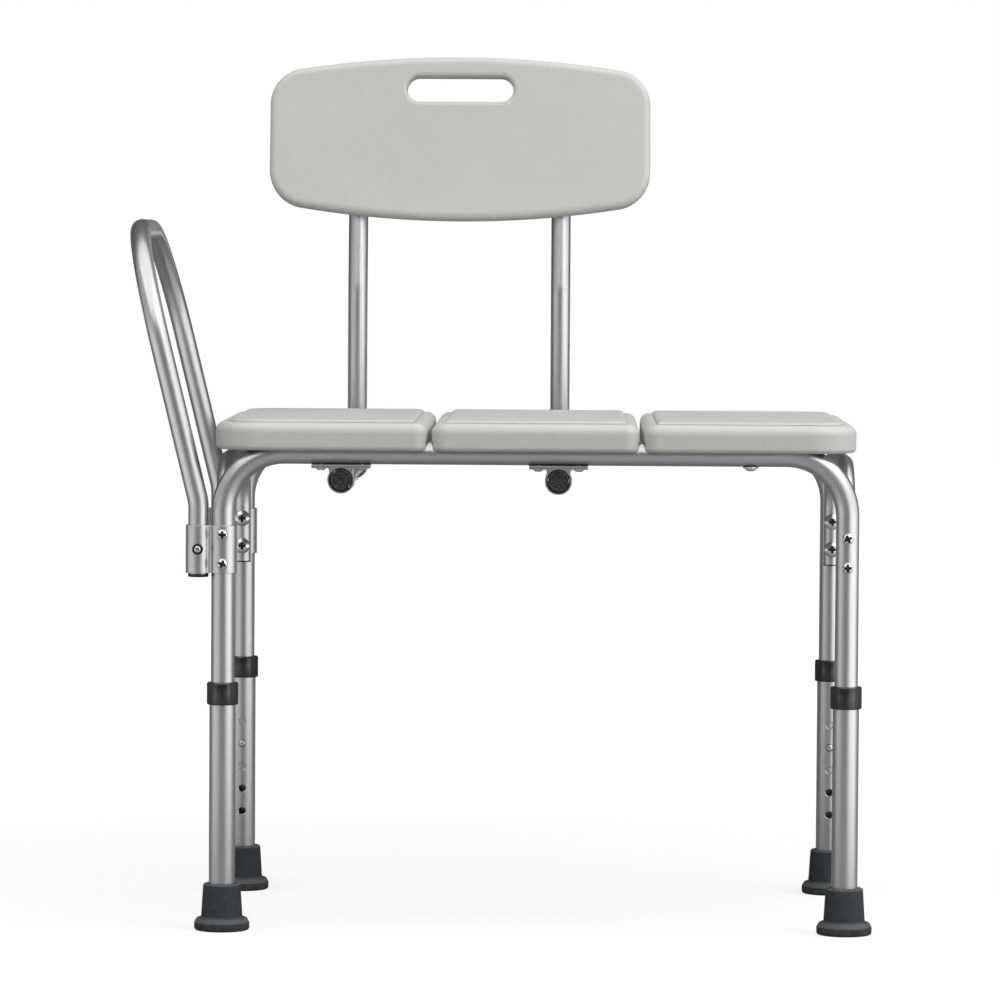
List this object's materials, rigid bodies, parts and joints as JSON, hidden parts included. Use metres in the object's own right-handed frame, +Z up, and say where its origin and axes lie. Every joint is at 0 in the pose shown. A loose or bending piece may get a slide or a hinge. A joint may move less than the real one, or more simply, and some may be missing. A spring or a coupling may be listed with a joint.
{
  "type": "tub transfer bench",
  "caption": "Bath transfer bench with a moulded panel seat on bent tube frames, telescoping legs, a lift-out arm rail at one end and a pull-out backrest.",
  "frame": {"origin": "on the floor under the middle of the whole outline", "axes": "+X along the seat to the end without an arm rail, +Y to the back, +Z up"},
  "size_m": [0.8013, 0.4979, 0.9449],
  "materials": {
    "seat_plastic": "warm light grey, finely grained",
    "satin_aluminium": "satin anodised",
    "black_plastic": "black, pebbled",
    "grey_rubber": "dark grey, matte",
    "bright_steel": "bright plated"
  },
  "bodies": {
    "frame": {"seat_panel_left": "seat_plastic", "seat_panel_middle": "seat_plastic", "seat_panel_right": "seat_plastic", "front_frame_tube": "satin_aluminium", "rear_frame_tube": "satin_aluminium", "end_brace_left": "satin_aluminium", "end_brace_right": "satin_aluminium", "leg_bolt_front_left_upper": "bright_steel", "leg_nut_front_left_upper": "bright_steel", "leg_bolt_front_left_lower": "bright_steel", "leg_nut_front_left_lower": "bright_steel", "leg_bolt_front_right_upper": "bright_steel", "leg_nut_front_right_upper": "bright_steel", "leg_bolt_front_right_lower": "bright_steel", "leg_nut_front_right_lower": "bright_steel", "leg_bolt_rear_left_upper": "bright_steel", "leg_nut_rear_left_upper": "bright_steel", "leg_bolt_rear_left_lower": "bright_steel", "leg_nut_rear_left_lower": "bright_steel", "leg_bolt_rear_right_upper": "bright_steel", "leg_nut_rear_right_upper": "bright_steel", "leg_bolt_rear_right_lower": "bright_steel", "leg_nut_rear_right_lower": "bright_steel", "arm_sleeve_front": "satin_aluminium", "arm_sleeve_rear": "satin_aluminium", "back_bracket_front_left": "satin_aluminium", "back_bracket_front_right": "satin_aluminium", "back_bracket_rear_left": "satin_aluminium", "back_bracket_rear_right": "satin_aluminium"},
    "leg_front_left": {"leg_tube_front_left": "satin_aluminium", "leg_collar_front_left": "black_plastic", "leg_foot_front_left": "grey_rubber"},
    "leg_button_front_left": {"leg_snap_clip_front_left": "bright_steel"},
    "leg_front_right": {"leg_tube_front_right": "satin_aluminium", "leg_collar_front_right": "black_plastic", "leg_foot_front_right": "grey_rubber"},
    "leg_button_front_right": {"leg_snap_clip_front_right": "bright_steel"},
    "leg_rear_left": {"leg_tube_rear_left": "satin_aluminium", "leg_collar_rear_left": "black_plastic", "leg_foot_rear_left": "grey_rubber"},
    "leg_button_rear_left": {"leg_snap_clip_rear_left": "bright_steel"},
    "leg_rear_right": {"leg_tube_rear_right": "satin_aluminium", "leg_collar_rear_right": "black_plastic", "leg_foot_rear_right": "grey_rubber"},
    "leg_button_rear_right": {"leg_snap_clip_rear_right": "bright_steel"},
    "arm": {"arm_rail": "satin_aluminium", "arm_plug_front": "black_plastic", "arm_plug_rear": "black_plastic"},
    "arm_button_front": {"arm_snap_clip_front": "bright_steel"},
    "arm_button_rear": {"arm_snap_clip_rear": "bright_steel"},
    "backrest": {"backrest_panel": "seat_plastic", "back_tube_left": "satin_aluminium", "back_tube_cap_left": "black_plastic", "back_post_plug_left": "black_plastic", "back_tube_right": "satin_aluminium", "back_tube_cap_right": "black_plastic", "back_post_plug_right": "black_plastic"},
    "back_button_left": {"back_snap_clip_left": "bright_steel"},
    "back_button_right": {"back_snap_clip_right": "bright_steel"}
  },
  "joints": [
    {"name": "leg_slide_front_left", "type": "slide", "parent": "frame", "child": "leg_front_left", "axis": [0, 0, -1], "range_m": [-0.0762, 0.0254]},
    {"name": "leg_slide_front_right", "type": "slide", "parent": "frame", "child": "leg_front_right", "axis": [0, 0, -1], "range_m": [-0.0762, 0.0254]},
    {"name": "leg_slide_rear_left", "type": "slide", "parent": "frame", "child": "leg_rear_left", "axis": [0, 0, -1], "range_m": [-0.0762, 0.0254]},
    {"name": "leg_slide_rear_right", "type": "slide", "parent": "frame", "child": "leg_rear_right", "axis": [0, 0, -1], "range_m": [-0.0762, 0.0254]},
    {"name": "leg_press_front_left", "type": "slide", "parent": "frame", "child": "leg_button_front_left", "axis": [0, -1, 0], "range_m": [0, 0.0042], "stiffness_N_per_m": 600, "deforming": ["leg_snap_clip_front_left"]},
    {"name": "leg_press_front_right", "type": "slide", "parent": "frame", "child": "leg_button_front_right", "axis": [0, -1, 0], "range_m": [0, 0.0042], "stiffness_N_per_m": 600, "deforming": ["leg_snap_clip_front_right"]},
    {"name": "leg_press_rear_left", "type": "slide", "parent": "frame", "child": "leg_button_rear_left", "axis": [0, 1, 0], "range_m": [0, 0.0042], "stiffness_N_per_m": 600, "deforming": ["leg_snap_clip_rear_left"]},
    {"name": "leg_press_rear_right", "type": "slide", "parent": "frame", "child": "leg_button_rear_right", "axis": [0, 1, 0], "range_m": [0, 0.0042], "stiffness_N_per_m": 600, "deforming": ["leg_snap_clip_rear_right"]},
    {"name": "arm_lift", "type": "slide", "parent": "frame", "child": "arm", "axis": [0, 0, 1], "range_m": [0, 0.06]},
    {"name": "arm_press_front", "type": "slide", "parent": "arm", "child": "arm_button_front", "axis": [0, 1, 0], "range_m": [0, 0.0052], "stiffness_N_per_m": 600, "deforming": ["arm_snap_clip_front"]},
    {"name": "arm_press_rear", "type": "slide", "parent": "arm", "child": "arm_button_rear", "axis": [0, -1, 0], "range_m": [0, 0.0052], "stiffness_N_per_m": 600, "deforming": ["arm_snap_clip_rear"]},
    {"name": "back_slide", "type": "slide", "parent": "frame", "child": "backrest", "axis": [0, 1, 0], "range_m": [0, 0.42]},
    {"name": "back_press_left", "type": "slide", "parent": "backrest", "child": "back_button_left", "axis": [0, 0, 1], "range_m": [0, 0.0062], "stiffness_N_per_m": 600, "deforming": ["back_snap_clip_left"]},
    {"name": "back_press_right", "type": "slide", "parent": "backrest", "child": "back_button_right", "axis": [0, 0, 1], "range_m": [0, 0.0062], "stiffness_N_per_m": 600, "deforming": ["back_snap_clip_right"]}
  ]
}
